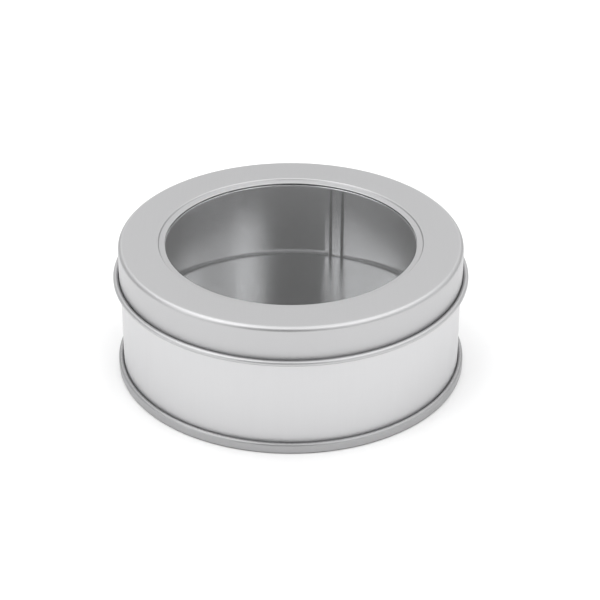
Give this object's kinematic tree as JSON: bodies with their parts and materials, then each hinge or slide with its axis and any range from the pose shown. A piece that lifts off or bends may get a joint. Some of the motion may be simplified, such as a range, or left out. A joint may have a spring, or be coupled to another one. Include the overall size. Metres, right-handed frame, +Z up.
{
  "type": "round window lid tin",
  "caption": "Round tinplate storage tin with a slip-on lid, a clear window in the lid, a curled lid edge and a seamed base.",
  "frame": {"origin": "centre of the tin's foot, on the surface it stands on", "axes": "+Z up along the tin's axis, +Y towards the back, +X to the right as seen in the picture"},
  "size_m": [0.1552, 0.1552, 0.06],
  "materials": {
    "satin_tinplate": "satin tinplate outside, bright inside",
    "bright_tinplate": "bright tinplate",
    "clear_sheet": "clear glossy plastic sheet"
  },
  "bodies": {
    "tin": {"body_wall": "satin_tinplate", "base": "bright_tinplate"},
    "lid_assembly": {"lid": "satin_tinplate", "window_pane": "clear_sheet", "window_retainer": "bright_tinplate"}
  },
  "joints": [
    {"name": "lid_lift", "type": "slide", "parent": "tin", "child": "lid_assembly", "axis": [0, 0, 1], "range_m": [0, 0.05]}
  ]
}
